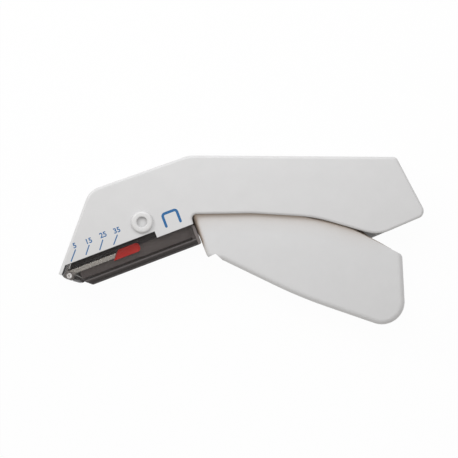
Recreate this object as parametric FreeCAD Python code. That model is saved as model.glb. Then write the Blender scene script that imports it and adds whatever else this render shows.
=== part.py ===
import FreeCAD, Part
import math
import os

# A disposable skin stapler that lies on its side. The long housing is the grip, the nose points
# down and to the left, and the trigger hangs below the housing and turns on the pin near the nose.
# A slanted magazine under the nose holds the staples, and a forked blade drives the front one out.
# Millimetres. X runs along the housing, Y across it, Z through its thickness from the far face.
# Plan points are measured from the pivot pin. The finished part is moved so that its origin is the
# middle of its outline, on the far face.

V = FreeCAD.Vector

# Widths through the thickness, from the staples outward
STAPLE_WIDTH = 12.6
STAPLE_SIDE_GAP = 0.6
MAGAZINE_WALL = 0.9
MAGAZINE_SIDE_GAP = 0.2
FACE_WALL = 2.0
EDGE_ROUND = 1.1
INNER_HALF = STAPLE_WIDTH / 2 + STAPLE_SIDE_GAP
MAGAZINE_HALF = INNER_HALF + MAGAZINE_WALL
MID_Z = MAGAZINE_HALF + MAGAZINE_SIDE_GAP + FACE_WALL
THICKNESS = 2 * MID_Z

# Directions in plan
NOSE_ANGLE = 69.8
MAGAZINE_ANGLE = 20.8
NOSE_DOWN = V(-math.cos(math.radians(NOSE_ANGLE)), -math.sin(math.radians(NOSE_ANGLE)), 0)
NOSE_BACK = V(-NOSE_DOWN.y, NOSE_DOWN.x, 0)
MAGAZINE_BACK = V(math.cos(math.radians(MAGAZINE_ANGLE)), math.sin(math.radians(MAGAZINE_ANGLE)), 0)
MAGAZINE_DOWN = V(MAGAZINE_BACK.y, -MAGAZINE_BACK.x, 0)

# Housing in plan
FRONT_EDGE = 24.75
NOSE_RISE = 0.9
FRONT_RISE = 4.65
CROWN_CORNER = (19.1, 27.3)
REAR_TOP = (104.2, 26.7)
REAR_TIP = (116.7, 3.0)
BELLY_CORNER = (96.9, -5.5)
BELLY_BEND = (70.5, 2.1)
BELLY_FRONT = (45.0, 3.6)
SLOT_CORNER = (20.05, 3.2)
FRONT_ROUND = 8.6
FRONT_INNER_ROUND = 3.0
CROWN_ROUND = 12.0
REAR_ROUND = 2.4
TIP_ROUND = 3.0
BELLY_ROUND = 14.0
BELLY_SWEEP = 60.0
SLOT_ROUND = 1.8
SHELL_WALL = 1.8
STRIP_WALL = 1.35
EYE_PAD = 0.25

# Pivot pin
PIN_RADIUS = 2.8
PIN_HEAD_RADIUS = 4.55
PIN_HEAD_HEIGHT = 1.4
PIN_HEAD_ROUND = 1.1
PIN_RECESS_RADIUS = 2.05
PIN_RECESS_ROUND = 0.6
PIN_RECESS_DEPTH = 1.3
PIN_STUB_RADIUS = 1.6
CAP_RADIUS = 4.0
CAP_THICKNESS = 1.0
SUNK = 0.3
SEAT_CLEARANCE = 0.03
HUB_CLEARANCE = 0.06

# Trigger
TRIGGER_GAP = 0.4
TRIGGER_SIDE = 1.8
TRIGGER_WALL = 2.0
TRIGGER_ROUND = 2.2
TRIGGER_FRONT_GAP = 0.3
TRIGGER_TOP_DEPTH = 3.6
CHEEK_DEPTH = 4.4
TOE_DEPTH = 23.2
TOE_ROUND = 2.4
FINGER_NOTCH = (30.1, -12.95)
NOTCH_ROUND = 0.4
GRIP_FRONT = (33.0, -15.6)
GRIP_SWEEP = 8.0
SHOULDER_ROUND = 30.0
TRIGGER_KNEE = (64.8, -31.0)
TRIGGER_HEEL = (108.6, -46.1)
TRIGGER_REAR_TOP = (106.85, -13.5)
TRIGGER_SHOULDER = (86.1, -2.8)
TRIGGER_BACK = (58.0, 4.4)
TRIGGER_NECK = (28.0, 8.6)
HEEL_ROUND = 9.4
KNEE_ROUND = 200.0
RIB_THICKNESS = 1.4
RIB_HEIGHT = 9.0
RIB_PLACES = (44.0, 60.0, 76.0)
HUB_RADIUS = 4.8
SQUEEZE_ANGLE = 15.0
SWEEP_CLEARANCE = 0.6

# Arm that moves the driver
ARM_TIP_GAP = 0.75
ARM_TIP_RADIUS = 2.0
ARM_NECK = 3.2
ARM_ROOT = 6.4
ARM_WIDTH = 6.0
SLOT_CLEARANCE = 0.06
SLOT_LEAD = 1.6

# Driver
BLADE_THICKNESS = 0.5
BLADE_TOP = -3.6
BLADE_LIFT = 0.42
FORK_DEPTH = 5.5
CARRIER_DEPTH = 4.15
CARRIER_TOP = -5.5
CARRIER_CHAMFER = 0.9
CARRIER_BOTTOM = 7.0
CARRIER_WIDTH = 10.0
CARRIER_ROUND = 0.6
RIVET_RADIUS = 0.9
RIVET_HEAD = 1.2
RIVET_HEAD_HEIGHT = 0.4
RIVET_DEPTH = 4.2
RIVET_SPACING = 4.0
PLATE_THICKNESS = 0.4
PLATE_TOP = 6.0
PLATE_RISE = 1.4
EAR_HEIGHT = 3.3
EAR_RISE = 0.3
EAR_REACH = 3.5
RUNNING_GAP = 0.1

# Staples
STAPLE_COUNT = 35
STAPLE_PITCH = 0.62
STAPLE_LEG = 3.1
WIRE = 0.45
WIRE_SIDES = 8
STAPLE_TOP_GAP = 0.73

# Magazine, its depths counted from the pivot across the staple row
MAGAZINE_TOP = 5.15
HOUSING_LAP = 0.28
STEP_HEIGHT = 2.77
STEP_PLACE = 3.5
PARTING_DROP = 1.0
COVER_HEIGHT = 2.74
MAGAZINE_REAR = 19.65
REAR_CAP_PLATE = 1.25
REAR_CAP_PLUG = 1.5
REAR_CAP_DROP = 0.4
LID_THICKNESS = 1.75
LID_DROP = 0.05
NOSE_FRONT_CLEARANCE = 0.1
COVER_FRONT = -13.9
CHIN_LIP = 0.2
CHIN_ROUND = 1.0
CAP_ROUND = 0.8
MOUTH_CLEARANCE = 0.45
MOUTH_LIFT = 0.6
MOUTH_REAR = -14.6
MOUTH_SLOT_REAR = -18.2
SLOT_OVERLAP = 0.25
NOSE_PIN_BACK = 1.97
NOSE_PIN_RISE = 1.75
NOSE_PIN_RADIUS = 1.1
NOSE_PIN_BORE = 0.55
NOSE_PIN_PROUD = 0.15

# Anvil rail
RAIL_WIDTH = 6.4
RAIL_SHEET = 0.6
RAIL_DEPTH = 5.05
TONGUE_LENGTH = 4.8
RAIL_SLOT = 1.6

# Follower with its spring and rod
FOLLOWER_RISE = 0.58
FOLLOWER_HEIGHT = 3.7
FOLLOWER_REAR = -4.5
FOLLOWER_SIDE_GAP = 0.5
FOLLOWER_ROUND = 1.5
FOLLOWER_GAP = 0.15
KEEL_LENGTH = 5.0
KEEL_WIDTH = 1.2
SHOE_DROP = 1.6
ROD_DROP = 2.45
ROD_RADIUS = 0.8
ROD_FRONT = -28.0
PUSH_SPRING_RADIUS = 1.45
PUSH_SPRING_WIRE = 0.45
PUSH_SPRING_TURNS = 11
COIL_SIDES = 16

# Return spring
COIL_RADIUS = 4.3
COIL_WIRE = 0.5
COIL_PITCH = 0.56
COIL_TURNS = 2
COIL_SLACK = 0.3
UPPER_LEG_ANGLE = 60.0
LOWER_LEG_ANGLE = 30.0
LOWER_LEG_LENGTH = 15.0
BAR_RADIUS = 1.0

# Ejector leaf
LEAF_THICKNESS = 0.3
LEAF_WIDTH = 4.0
LEAF_RISE = 1.35
LEAF_REAR = -23.0
LEAF_BEND = -31.2
LEAF_TIP_DROP = 0.65
LEAF_TIP = -34.6
LEAF_BOSS_LENGTH = 4.0

# Shell pegs
PEG_RADIUS = 1.6
PEG_LENGTH = 3.0
PEG_BOSS = 2.4
PEG_PLACES = ((-4.0, 13.0), (28.0, 22.4), (66.0, 22.8), (100.0, 22.6))
STOP_RIB_HALF = 1.0
STOP_RIB_FRONT = 88.0
STOP_RIB_TIP = 93.9
STOP_RIB_REAR = 104.0
GUIDE_RIB_THICKNESS = 1.1
GUIDE_RIB_REACH = 1.5
GUIDE_RIB_TOP = -8.5
GUIDE_RIB_BOTTOM = 14.0

# Values worked out from those above
NEAR_FACE = THICKNESS - FACE_WALL
BEYOND = 2 * THICKNESS
PLATE_FRONT = -FRONT_EDGE + STRIP_WALL + MAGAZINE_WALL + 1.5 * RUNNING_GAP
BLADE_FRONT = PLATE_FRONT + PLATE_THICKNESS + RUNNING_GAP
BLADE_BACK = BLADE_FRONT + BLADE_THICKNESS
CARRIER_BACK = BLADE_BACK + CARRIER_DEPTH
ARM_REACH = -BLADE_BACK - ARM_TIP_GAP - ARM_TIP_RADIUS
STAPLE_PLANE = (BLADE_FRONT + BLADE_BACK) / 2
LID_TOP = MAGAZINE_TOP + LID_DROP
CROWN_DEPTH = LID_TOP + LID_THICKNESS + STAPLE_TOP_GAP + WIRE / 2
RAIL_TOP = CROWN_DEPTH + WIRE / 2 + 0.02
RAIL_BOTTOM = RAIL_TOP + RAIL_DEPTH
PARTING_DEPTH = RAIL_BOTTOM + PARTING_DROP
MAGAZINE_BOTTOM = PARTING_DEPTH + COVER_HEIGHT
HOUSING_EDGE = MAGAZINE_TOP + HOUSING_LAP
HOUSING_STEP = HOUSING_EDGE + STEP_HEIGHT
REAR_CAP_TOP = HOUSING_STEP + REAR_CAP_DROP
FOLLOWER_TOP = CROWN_DEPTH - WIRE / 2 - FOLLOWER_RISE
FOLLOWER_BOTTOM = FOLLOWER_TOP + FOLLOWER_HEIGHT
ROD_DEPTH = RAIL_TOP + ROD_DROP
SHOE_BOTTOM = ROD_DEPTH + SHOE_DROP
LEAF_DEPTH = PARTING_DEPTH - LEAF_RISE
LEAF_TIP_DEPTH = RAIL_TOP + RAIL_SHEET + LEAF_TIP_DROP
REAR_SEAT = MAGAZINE_REAR - REAR_CAP_PLATE - REAR_CAP_PLUG
COVER_REAR = MAGAZINE_REAR - REAR_CAP_PLATE
PITCH_BACK = STAPLE_PITCH * MAGAZINE_BACK.dot(NOSE_BACK)
FEED = (STAPLE_COUNT - 1) * STAPLE_PITCH
KEEL_REAR = FOLLOWER_REAR - FOLLOWER_ROUND / 2
FOLLOWER_FRONT = STAPLE_PLANE + (STAPLE_COUNT - 1) * PITCH_BACK + WIRE / 2 + FOLLOWER_GAP
TRIGGER_HALF = MID_Z - FACE_WALL - TRIGGER_GAP
RAIL_HALF = RAIL_WIDTH / 2
COIL_BOTTOM = MID_Z + ARM_WIDTH / 2 + 0.4 + COIL_WIRE / 2


def nose(back, down):
    """Plan point from its distances behind the pivot across the driver and down along it."""
    return NOSE_BACK * back + NOSE_DOWN * down


def mag(back, depth):
    """Plan point from its place along the magazine and its depth below the pivot."""
    return MAGAZINE_BACK * back + MAGAZINE_DOWN * depth


def nose_at_depth(back, depth):
    """Plan point at a distance behind the pivot, as deep as the given magazine depth."""
    down = (depth - back * NOSE_BACK.dot(MAGAZINE_DOWN)) / NOSE_DOWN.dot(MAGAZINE_DOWN)
    return nose(back, down)


def depth_at_nose(down, depth):
    """Plan point at a distance down along the driver, as deep as the given magazine depth."""
    back = (depth - down * NOSE_DOWN.dot(MAGAZINE_DOWN)) / NOSE_BACK.dot(MAGAZINE_DOWN)
    return nose(back, down)


def plan(point):
    return V(point[0], point[1], 0)


def polar(radius, angle):
    return V(radius * math.cos(math.radians(angle)), radius * math.sin(math.radians(angle)), 0)


def outline(corners):
    """Closed wire through (point, radius) corners, each rounded by a tangent arc."""
    count = len(corners)
    marks = []
    for index, (point, radius) in enumerate(corners):
        before = (corners[index - 1][0] - point).normalize()
        after = (corners[(index + 1) % count][0] - point).normalize()
        if radius == 0:
            marks.append((point, point, point))
            continue
        half = before.getAngle(after) / 2
        reach = radius / math.tan(half)
        middle = point + (before + after).normalize() * (radius / math.sin(half) - radius)
        marks.append((point + before * reach, middle, point + after * reach))
    edges = []
    for index, (start, middle, end) in enumerate(marks):
        if (end - start).Length > 1e-6:
            edges.append(Part.Arc(start, middle, end).toShape())
        following = marks[(index + 1) % count][0]
        edges.append(Part.LineSegment(end, following).toShape())
    return Part.Wire(edges)


def prism(corners, low, high):
    face = Part.Face(outline(corners))
    face.translate(V(0, 0, low))
    return face.extrude(V(0, 0, high - low))


def sharp(points):
    return [(point, 0) for point in points]


def disc(centre, radius, low, high):
    return Part.makeCylinder(radius, high - low, centre + V(0, 0, low))


def inset(points, walls):
    """Corners where the edges of an open path, each moved to its right by its wall, meet."""
    lines = []
    for start, end, wall in zip(points, points[1:], walls):
        along = (end - start).normalize()
        lines.append((start + V(along.y, -along.x, 0) * wall, along))
    corners = []
    for (first, along), (second, other) in zip(lines, lines[1:]):
        turn = along.x * other.y - along.y * other.x
        step = second - first
        corners.append(first + along * ((step.x * other.y - step.y * other.x) / turn))
    return corners


def mirrored(shape):
    return shape.mirror(V(0, 0, MID_Z), V(0, 0, 1))


def clean(shape):
    return shape.removeSplitter()


def edges_where(shape, test):
    return [edge for edge in shape.Edges if test(edge.valueAt((edge.FirstParameter + edge.LastParameter) / 2))]


def cross(first, second):
    return first.x * second.y - first.y * second.x


def on_line(start, end, x):
    """Height of the line through two plan points at a given x."""
    return start.y + (end.y - start.y) * (x - start.x) / (end.x - start.x)


# Depths along the nose, counted from the front staple, which the blade meets
CROWN_DROP = nose_at_depth(STAPLE_PLANE, CROWN_DEPTH).dot(NOSE_DOWN)
BLADE_TIP = CROWN_DROP - WIRE / 2 - BLADE_LIFT
MOUTH_DEPTH = CROWN_DROP + STAPLE_LEG + MOUTH_CLEARANCE
NOSE_DEPTH = MOUTH_DEPTH - NOSE_RISE
PLATE_BOTTOM = MOUTH_DEPTH - PLATE_RISE
EAR_BOTTOM = MOUTH_DEPTH - EAR_RISE
EAR_TOP = EAR_BOTTOM - EAR_HEIGHT
NOSE_PIN_PLACE = nose(PLATE_FRONT + NOSE_PIN_BACK, MOUTH_DEPTH - NOSE_PIN_RISE)

# Housing outline from the nose over the top to the belly
HOUSING_PATH = [
    nose(-FRONT_EDGE, NOSE_DEPTH + BEYOND),
    nose(-FRONT_EDGE, -FRONT_RISE),
    plan(CROWN_CORNER),
    plan(REAR_TOP),
    plan(REAR_TIP),
    plan(BELLY_CORNER),
]
INNER_PATH = inset(HOUSING_PATH, [STRIP_WALL] + 4 * [SHELL_WALL])

# Trigger outline down its front, which stands along the magazine's rear, and round to its rear edge
TRIGGER_FRONT = MAGAZINE_REAR + TRIGGER_FRONT_GAP
TRIGGER_PATH = [
    mag(TRIGGER_FRONT, TRIGGER_TOP_DEPTH),
    mag(TRIGGER_FRONT, TOE_DEPTH),
    plan(GRIP_FRONT),
    plan(TRIGGER_KNEE),
    plan(TRIGGER_HEEL),
    plan(TRIGGER_REAR_TOP),
]
ARM_ANGLE = math.degrees(math.atan2(-NOSE_BACK.y, -NOSE_BACK.x)) - SQUEEZE_ANGLE / 2
ARM_TIP = polar(ARM_REACH, ARM_ANGLE)
STROKE = 2 * ARM_REACH * math.sin(math.radians(SQUEEZE_ANGLE / 2))


def trigger_sweep():
    """Distance from the pin of the trigger's rear edge where it meets the housing's rear lip."""
    heel, rear = TRIGGER_PATH[4:]
    edge = rear - heel
    return cross(rear, edge) / cross(polar(1, -SQUEEZE_ANGLE), edge)


def housing_corners():
    strip = -FRONT_EDGE + STRIP_WALL
    return [
        (nose(-FRONT_EDGE, NOSE_DEPTH), 0),
        (HOUSING_PATH[1], FRONT_ROUND),
        (HOUSING_PATH[2], CROWN_ROUND),
        (HOUSING_PATH[3], REAR_ROUND),
        (HOUSING_PATH[4], TIP_ROUND),
        (HOUSING_PATH[5], BELLY_ROUND),
        (plan(BELLY_BEND), BELLY_SWEEP),
        (plan(BELLY_FRONT), BELLY_SWEEP),
        (plan(SLOT_CORNER), SLOT_ROUND),
        (mag(MAGAZINE_REAR - SLOT_OVERLAP, HOUSING_STEP), 0),
        (mag(STEP_PLACE, HOUSING_STEP), 0),
        (mag(STEP_PLACE, HOUSING_EDGE), 0),
        (nose_at_depth(strip, HOUSING_EDGE), 0),
        (nose(strip, NOSE_DEPTH), 0),
    ]


def cavity_corners():
    """Inside of the housing walls. It runs out below, where trigger and magazine leave."""
    tip = INNER_PATH[3]
    along = (HOUSING_PATH[5] - HOUSING_PATH[4]).normalize()
    reach = trigger_sweep() + SWEEP_CLEARANCE
    toward = tip.dot(along)
    lip = tip + along * (-toward - math.sqrt(toward ** 2 - tip.dot(tip) + reach ** 2))
    return [
        (nose(-FRONT_EDGE + STRIP_WALL, NOSE_DEPTH + BEYOND), 0),
        (INNER_PATH[0], FRONT_INNER_ROUND),
        (INNER_PATH[1], CROWN_ROUND - SHELL_WALL),
        (INNER_PATH[2], REAR_ROUND - SHELL_WALL),
        (INNER_PATH[3], TIP_ROUND - SHELL_WALL),
        (lip, 0),
        (V(lip.x, -BEYOND, 0), 0),
    ]


def magazine_depth(point):
    return V(point.x, point.y, 0).dot(MAGAZINE_DOWN)


def plain_shell():
    """Near shell with its rounded face, hollow, guide rib, half of the stop rib and peg bosses."""
    shell = prism(housing_corners(), MID_Z, THICKNESS)
    rim = edges_where(shell, lambda p: p.z > THICKNESS - 0.01 and (p.x > 22 or magazine_depth(p) < 4))
    shell = shell.makeFillet(EDGE_ROUND, rim)
    shell = shell.cut(prism(cavity_corners(), MID_Z - 1, NEAR_FACE))
    rib_line = HOUSING_PATH[4], HOUSING_PATH[5]
    roof = INNER_PATH[1].y + 1
    stop_rib = prism(sharp([
        V(STOP_RIB_FRONT, roof, 0),
        V(STOP_RIB_REAR, roof, 0),
        V(STOP_RIB_REAR, on_line(*rib_line, STOP_RIB_REAR), 0),
        V(STOP_RIB_TIP, on_line(*rib_line, STOP_RIB_TIP), 0),
        V(STOP_RIB_FRONT, on_line(*rib_line, STOP_RIB_TIP) + STOP_RIB_TIP - STOP_RIB_FRONT, 0),
    ]), MID_Z, MID_Z + STOP_RIB_HALF)
    rib_front = CARRIER_BACK + RUNNING_GAP
    rib_low = MID_Z + CARRIER_WIDTH / 2 - GUIDE_RIB_REACH
    guide_rib = prism(sharp([
        nose(rib_front, GUIDE_RIB_TOP),
        nose(rib_front + GUIDE_RIB_THICKNESS, GUIDE_RIB_TOP),
        nose(rib_front + GUIDE_RIB_THICKNESS, GUIDE_RIB_BOTTOM),
        nose(rib_front, GUIDE_RIB_BOTTOM),
    ]), rib_low, NEAR_FACE)
    pad = disc(V(0, 0, 0), HUB_RADIUS, NEAR_FACE - EYE_PAD, NEAR_FACE)
    bosses = [disc(plan(place), PEG_BOSS, MID_Z, NEAR_FACE) for place in PEG_PLACES]
    return shell.fuse([stop_rib, guide_rib, pad] + bosses)


def housing_near():
    shell = plain_shell().cut(disc(V(0, 0, 0), PIN_RADIUS + SEAT_CLEARANCE, MID_Z, THICKNESS + 1))
    top = MID_Z + PEG_LENGTH + RUNNING_GAP
    sockets = [disc(plan(p), PEG_RADIUS + SEAT_CLEARANCE, MID_Z, top) for p in PEG_PLACES]
    return clean(shell.cut(sockets))


def housing_far():
    shell = mirrored(plain_shell()).cut([
        disc(V(0, 0, 0), PIN_RADIUS + SEAT_CLEARANCE, -1, MID_Z),
        disc(V(0, 0, 0), CAP_RADIUS + SEAT_CLEARANCE, -1, SUNK + CAP_THICKNESS),
    ])
    pegs = [disc(plan(p), PEG_RADIUS, MID_Z - 1, MID_Z + PEG_LENGTH) for p in PEG_PLACES]
    return clean(shell.fuse(pegs))


def pivot_pin():
    """Headed pin, turned about its axis. The head is a round ring about a shallow recess."""
    top = THICKNESS + PIN_HEAD_HEIGHT
    floor = top - PIN_RECESS_DEPTH
    shoulder = SUNK + CAP_THICKNESS
    profile = outline([
        (V(0, floor, 0), 0),
        (V(0, SUNK, 0), 0),
        (V(PIN_STUB_RADIUS, SUNK, 0), 0),
        (V(PIN_STUB_RADIUS, shoulder, 0), 0),
        (V(PIN_RADIUS, shoulder, 0), 0),
        (V(PIN_RADIUS, THICKNESS, 0), 0),
        (V(PIN_HEAD_RADIUS, THICKNESS, 0), 0),
        (V(PIN_HEAD_RADIUS, top, 0), PIN_HEAD_ROUND),
        (V(PIN_RECESS_RADIUS, top, 0), PIN_RECESS_ROUND),
        (V(PIN_RECESS_RADIUS, floor, 0), 0),
    ])
    pin = Part.Face(profile).revolve(V(0, 0, 0), V(0, 1, 0), 360)
    pin.rotate(V(0, 0, 0), V(1, 0, 0), 90)
    return pin


def pin_cap():
    ring = disc(V(0, 0, 0), CAP_RADIUS, SUNK, SUNK + CAP_THICKNESS)
    return ring.cut(disc(V(0, 0, 0), PIN_STUB_RADIUS + SEAT_CLEARANCE, 0, THICKNESS))


def trigger_handle():
    """Open channel of the handle. The fingers' side is rounded and the top is open."""
    front, toe, grip_front, knee, heel, rear = TRIGGER_PATH
    low = MID_Z - TRIGGER_HALF
    high = MID_Z + TRIGGER_HALF
    fingers_side = [(toe, TOE_ROUND), (grip_front, GRIP_SWEEP), (knee, KNEE_ROUND), (heel, HEEL_ROUND)]
    shape = prism([(front, 0)] + fingers_side + [
        (rear, REAR_ROUND),
        (plan(TRIGGER_SHOULDER), SHOULDER_ROUND),
        (plan(TRIGGER_BACK), SHOULDER_ROUND),
        (plan(TRIGGER_NECK), 0),
    ], low, high)
    lift = V(0, BEYOND, 0)
    above_front = front + (front - toe)
    above_rear = rear + (rear - heel)
    grip = prism([(above_front, 0)] + fingers_side + [(above_rear, 0), (front + lift, 0)], low, high)
    rim = edges_where(grip, lambda p: is_grip_rim(p, low, high))
    grip = grip.makeFillet(TRIGGER_ROUND, rim)
    notch = plan(FINGER_NOTCH)
    inner = inset([above_front, toe, notch, grip_front, knee, heel, above_rear], 6 * [-TRIGGER_WALL])
    inner_front = inner[0] + (front - toe) * 2
    inner_rear = inner[4] + (rear - heel) * 2
    hollow = prism([
        (inner_front, 0),
        (inner[0], TRIGGER_WALL / 2),
        (inner[1], TRIGGER_WALL / 2),
        (inner[2], TRIGGER_WALL / 2),
        (inner[3], KNEE_ROUND - TRIGGER_WALL),
        (inner[4], HEEL_ROUND - TRIGGER_WALL),
        (inner_rear, 0),
        (inner_rear + lift, 0),
        (inner_front + lift, 0),
    ], low + TRIGGER_SIDE, high - TRIGGER_SIDE)
    return shape.common(grip).cut([hollow, finger_notch()])


def is_grip_rim(point, low, high):
    """True on the outer edges of the front, the lower side and the rear of the handle."""
    on_side = min(abs(point.z - low), abs(point.z - high)) < 0.01
    front, toe = TRIGGER_PATH[:2]
    return on_side and point.y < front.y + (front.y - toe.y)


def finger_notch():
    """Wedge cut from the lower side behind the toe, for the edge of a finger."""
    toe, grip_front = TRIGGER_PATH[1:3]
    notch = plan(FINGER_NOTCH)
    ahead = toe + (toe - notch)
    below = V(0, -BEYOND, 0)
    return prism([(ahead, 0), (notch, NOTCH_ROUND), (grip_front, 0), (grip_front + below, 0), (ahead + below, 0)],
                 0, THICKNESS)


def trigger_neck():
    """Two cheeks from the hub to the handle, above the magazine."""
    front = TRIGGER_PATH[0]
    cheek_corners = [
        (V(0, HUB_RADIUS, 0), 0),
        (plan(TRIGGER_NECK), 0),
        (plan(TRIGGER_NECK) + V(TRIGGER_SIDE, -TRIGGER_SIDE, 0), 0),
        (front + V(TRIGGER_WALL + TRIGGER_SIDE, -TRIGGER_SIDE, 0), 0),
        (mag(TRIGGER_FRONT, CHEEK_DEPTH), 0),
        (mag(HUB_RADIUS * 0.4, CHEEK_DEPTH), 0),
        (V(0, 0, 0), 0),
    ]
    low = MID_Z - TRIGGER_HALF
    high = MID_Z + TRIGGER_HALF
    far = prism(cheek_corners, low, low + TRIGGER_SIDE)
    near = prism(cheek_corners, high - TRIGGER_SIDE, high)
    return [far, near]


def trigger_arm():
    along = polar(1, ARM_ANGLE)
    side = V(-along.y, along.x, 0)
    waist = along * (ARM_REACH - ARM_TIP_RADIUS - SLOT_LEAD)
    low = MID_Z - ARM_WIDTH / 2
    high = MID_Z + ARM_WIDTH / 2
    beam = prism(sharp([
        side * (ARM_ROOT / 2),
        waist + side * (ARM_NECK / 2),
        ARM_TIP + side * (ARM_NECK / 2),
        ARM_TIP - side * (ARM_NECK / 2),
        waist - side * (ARM_NECK / 2),
        side * (-ARM_ROOT / 2),
    ]), low, high)
    return beam.fuse(disc(ARM_TIP, ARM_TIP_RADIUS, low, high))


def trigger_ribs():
    """Cross ribs on the floor of the handle's channel."""
    ribs = []
    for x in RIB_PLACES:
        start, end = TRIGGER_PATH[2:4] if x < TRIGGER_KNEE[0] else TRIGGER_PATH[3:5]
        floor = on_line(start, end, x) + TRIGGER_WALL / 2
        size = V(RIB_THICKNESS, RIB_HEIGHT, 2 * (TRIGGER_HALF - TRIGGER_SIDE / 2))
        corner = V(x - size.x / 2, floor, MID_Z - size.z / 2)
        ribs.append(Part.makeBox(size.x, size.y, size.z, corner))
    return ribs


def spring_bar_centre():
    along = polar(1, LOWER_LEG_ANGLE)
    start = polar(COIL_RADIUS, LOWER_LEG_ANGLE - 90)
    below = V(along.y, -along.x, 0)
    return start + along * (LOWER_LEG_LENGTH - 2 * BAR_RADIUS) + below * (BAR_RADIUS + COIL_WIRE)


def trigger():
    low = MID_Z - TRIGGER_HALF
    high = MID_Z + TRIGGER_HALF
    coil_low = MID_Z + ARM_WIDTH / 2
    coil_high = high - TRIGGER_SIDE
    hub = [
        disc(V(0, 0, 0), HUB_RADIUS, low, coil_low),
        disc(V(0, 0, 0), HUB_RADIUS, coil_high, high),
        disc(V(0, 0, 0), COIL_RADIUS - COIL_WIRE / 2 - COIL_SLACK, low, high),
    ]
    bar = disc(spring_bar_centre(), BAR_RADIUS, low + TRIGGER_SIDE / 2, high - TRIGGER_SIDE / 2)
    body = trigger_handle().fuse(trigger_neck() + hub + trigger_ribs() + [trigger_arm(), bar])
    return clean(body.cut(disc(V(0, 0, 0), PIN_RADIUS + HUB_CLEARANCE, 0, THICKNESS)))


def square_coil(radius, wire, turns, height):
    """Coil of square wire about Z in short straight runs, starting on the X axis."""
    count = round(turns * COIL_SIDES)
    step = 360 * turns / count
    corner = radius / math.cos(math.radians(step / 2))
    half = wire / 2
    sections = []
    for index in range(count + 1):
        rise = V(0, 0, height * index / count)
        inner = polar(corner - half, index * step) + rise
        outer = polar(corner + half, index * step) + rise
        up = V(0, 0, half)
        sections.append(Part.makePolygon([inner - up, outer - up, outer + up, inner + up, inner - up]))
    return Part.makeLoft(sections, True, True)


def wire_leg(start, direction, length, wire):
    """Straight square wire from a point, in plan."""
    side = V(-direction.y, direction.x, 0) * (wire / 2)
    end = start + direction * length
    leg = prism(sharp([start - side, end - side, end + side, start + side]), -wire / 2, wire / 2)
    return leg


def return_spring():
    """Torsion spring on the hub, from the housing's roof to the bar in the trigger."""
    turns = COIL_TURNS + (LOWER_LEG_ANGLE - UPPER_LEG_ANGLE + 180) / 360
    coil = square_coil(COIL_RADIUS, COIL_WIRE, turns, turns * COIL_PITCH)
    coil.rotate(V(0, 0, 0), V(0, 0, 1), UPPER_LEG_ANGLE + 90)
    upper_start = polar(COIL_RADIUS, UPPER_LEG_ANGLE + 90)
    upper = polar(1, UPPER_LEG_ANGLE)
    roof = (INNER_PATH[1] - INNER_PATH[0]).normalize()
    reach = cross(INNER_PATH[0] - upper_start, roof) / cross(upper, roof)
    upper_leg = wire_leg(upper_start, upper, reach - COIL_WIRE, COIL_WIRE)
    lower_leg = wire_leg(polar(COIL_RADIUS, LOWER_LEG_ANGLE - 90), polar(1, LOWER_LEG_ANGLE),
                         LOWER_LEG_LENGTH, COIL_WIRE)
    lower_leg.translate(V(0, 0, turns * COIL_PITCH))
    spring = coil.fuse([upper_leg, lower_leg])
    spring.translate(V(0, 0, COIL_BOTTOM))
    return spring


def rivet_places():
    return [MID_Z + step * RIVET_SPACING / 2 for step in (-1, 1)]


def along_nose(radius, start, end, down, height):
    """Cylinder across the driver, from one distance behind the pivot to another."""
    return Part.makeCylinder(radius, end - start, nose(start, down) + V(0, 0, height), NOSE_BACK)


def rivet_holes():
    radius = RIVET_RADIUS + SEAT_CLEARANCE
    return [along_nose(radius, BLADE_FRONT - 1, CARRIER_BACK + 1, RIVET_DEPTH, z) for z in rivet_places()]


def nose_box(front, back, top, bottom, half):
    corners = [nose(front, top), nose(back, top), nose(back, bottom), nose(front, bottom)]
    return prism(sharp(corners), MID_Z - half, MID_Z + half)


def driver_blade():
    """Flat blade, forked below so that it passes on both sides of the anvil."""
    blade = nose_box(BLADE_FRONT, BLADE_BACK, BLADE_TOP, BLADE_TIP, STAPLE_WIDTH / 2)
    fork = nose_box(BLADE_FRONT - 1, BLADE_BACK + 1, BLADE_TIP - FORK_DEPTH, BLADE_TIP + 1,
                    RAIL_HALF + 1.5 * RUNNING_GAP)
    return blade.cut([fork] + rivet_holes())


def driver_carrier():
    """Block behind the blade, with the slot that the trigger's arm works in."""
    block = prism(sharp([
        nose(BLADE_BACK, CARRIER_TOP + CARRIER_CHAMFER),
        nose(BLADE_BACK + CARRIER_CHAMFER, CARRIER_TOP),
        nose(CARRIER_BACK, CARRIER_TOP),
        nose(CARRIER_BACK, CARRIER_BOTTOM),
        nose(BLADE_BACK, CARRIER_BOTTOM),
    ]), MID_Z - CARRIER_WIDTH / 2, MID_Z + CARRIER_WIDTH / 2)
    ends = edges_where(block, lambda p: p.dot(NOSE_BACK) > CARRIER_BACK - 0.01 and abs(p.z - MID_Z) < 1)
    block = block.makeFillet(CARRIER_ROUND, ends)
    middle = ARM_TIP.dot(NOSE_DOWN)
    half = ARM_TIP_RADIUS + SLOT_CLEARANCE
    floor = -ARM_REACH - ARM_TIP_RADIUS - 1.5 * RUNNING_GAP
    slot = nose_box(floor, CARRIER_BACK + 1, middle - half, middle + half, ARM_WIDTH / 2 + 2.5 * RUNNING_GAP)
    return block.cut([slot] + rivet_holes())


def driver_rivet(height):
    shank = along_nose(RIVET_RADIUS, BLADE_FRONT, CARRIER_BACK + RIVET_HEAD_HEIGHT / 2, RIVET_DEPTH, height)
    head = along_nose(RIVET_HEAD, CARRIER_BACK, CARRIER_BACK + RIVET_HEAD_HEIGHT, RIVET_DEPTH, height)
    return clean(shank.fuse(head))


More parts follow.
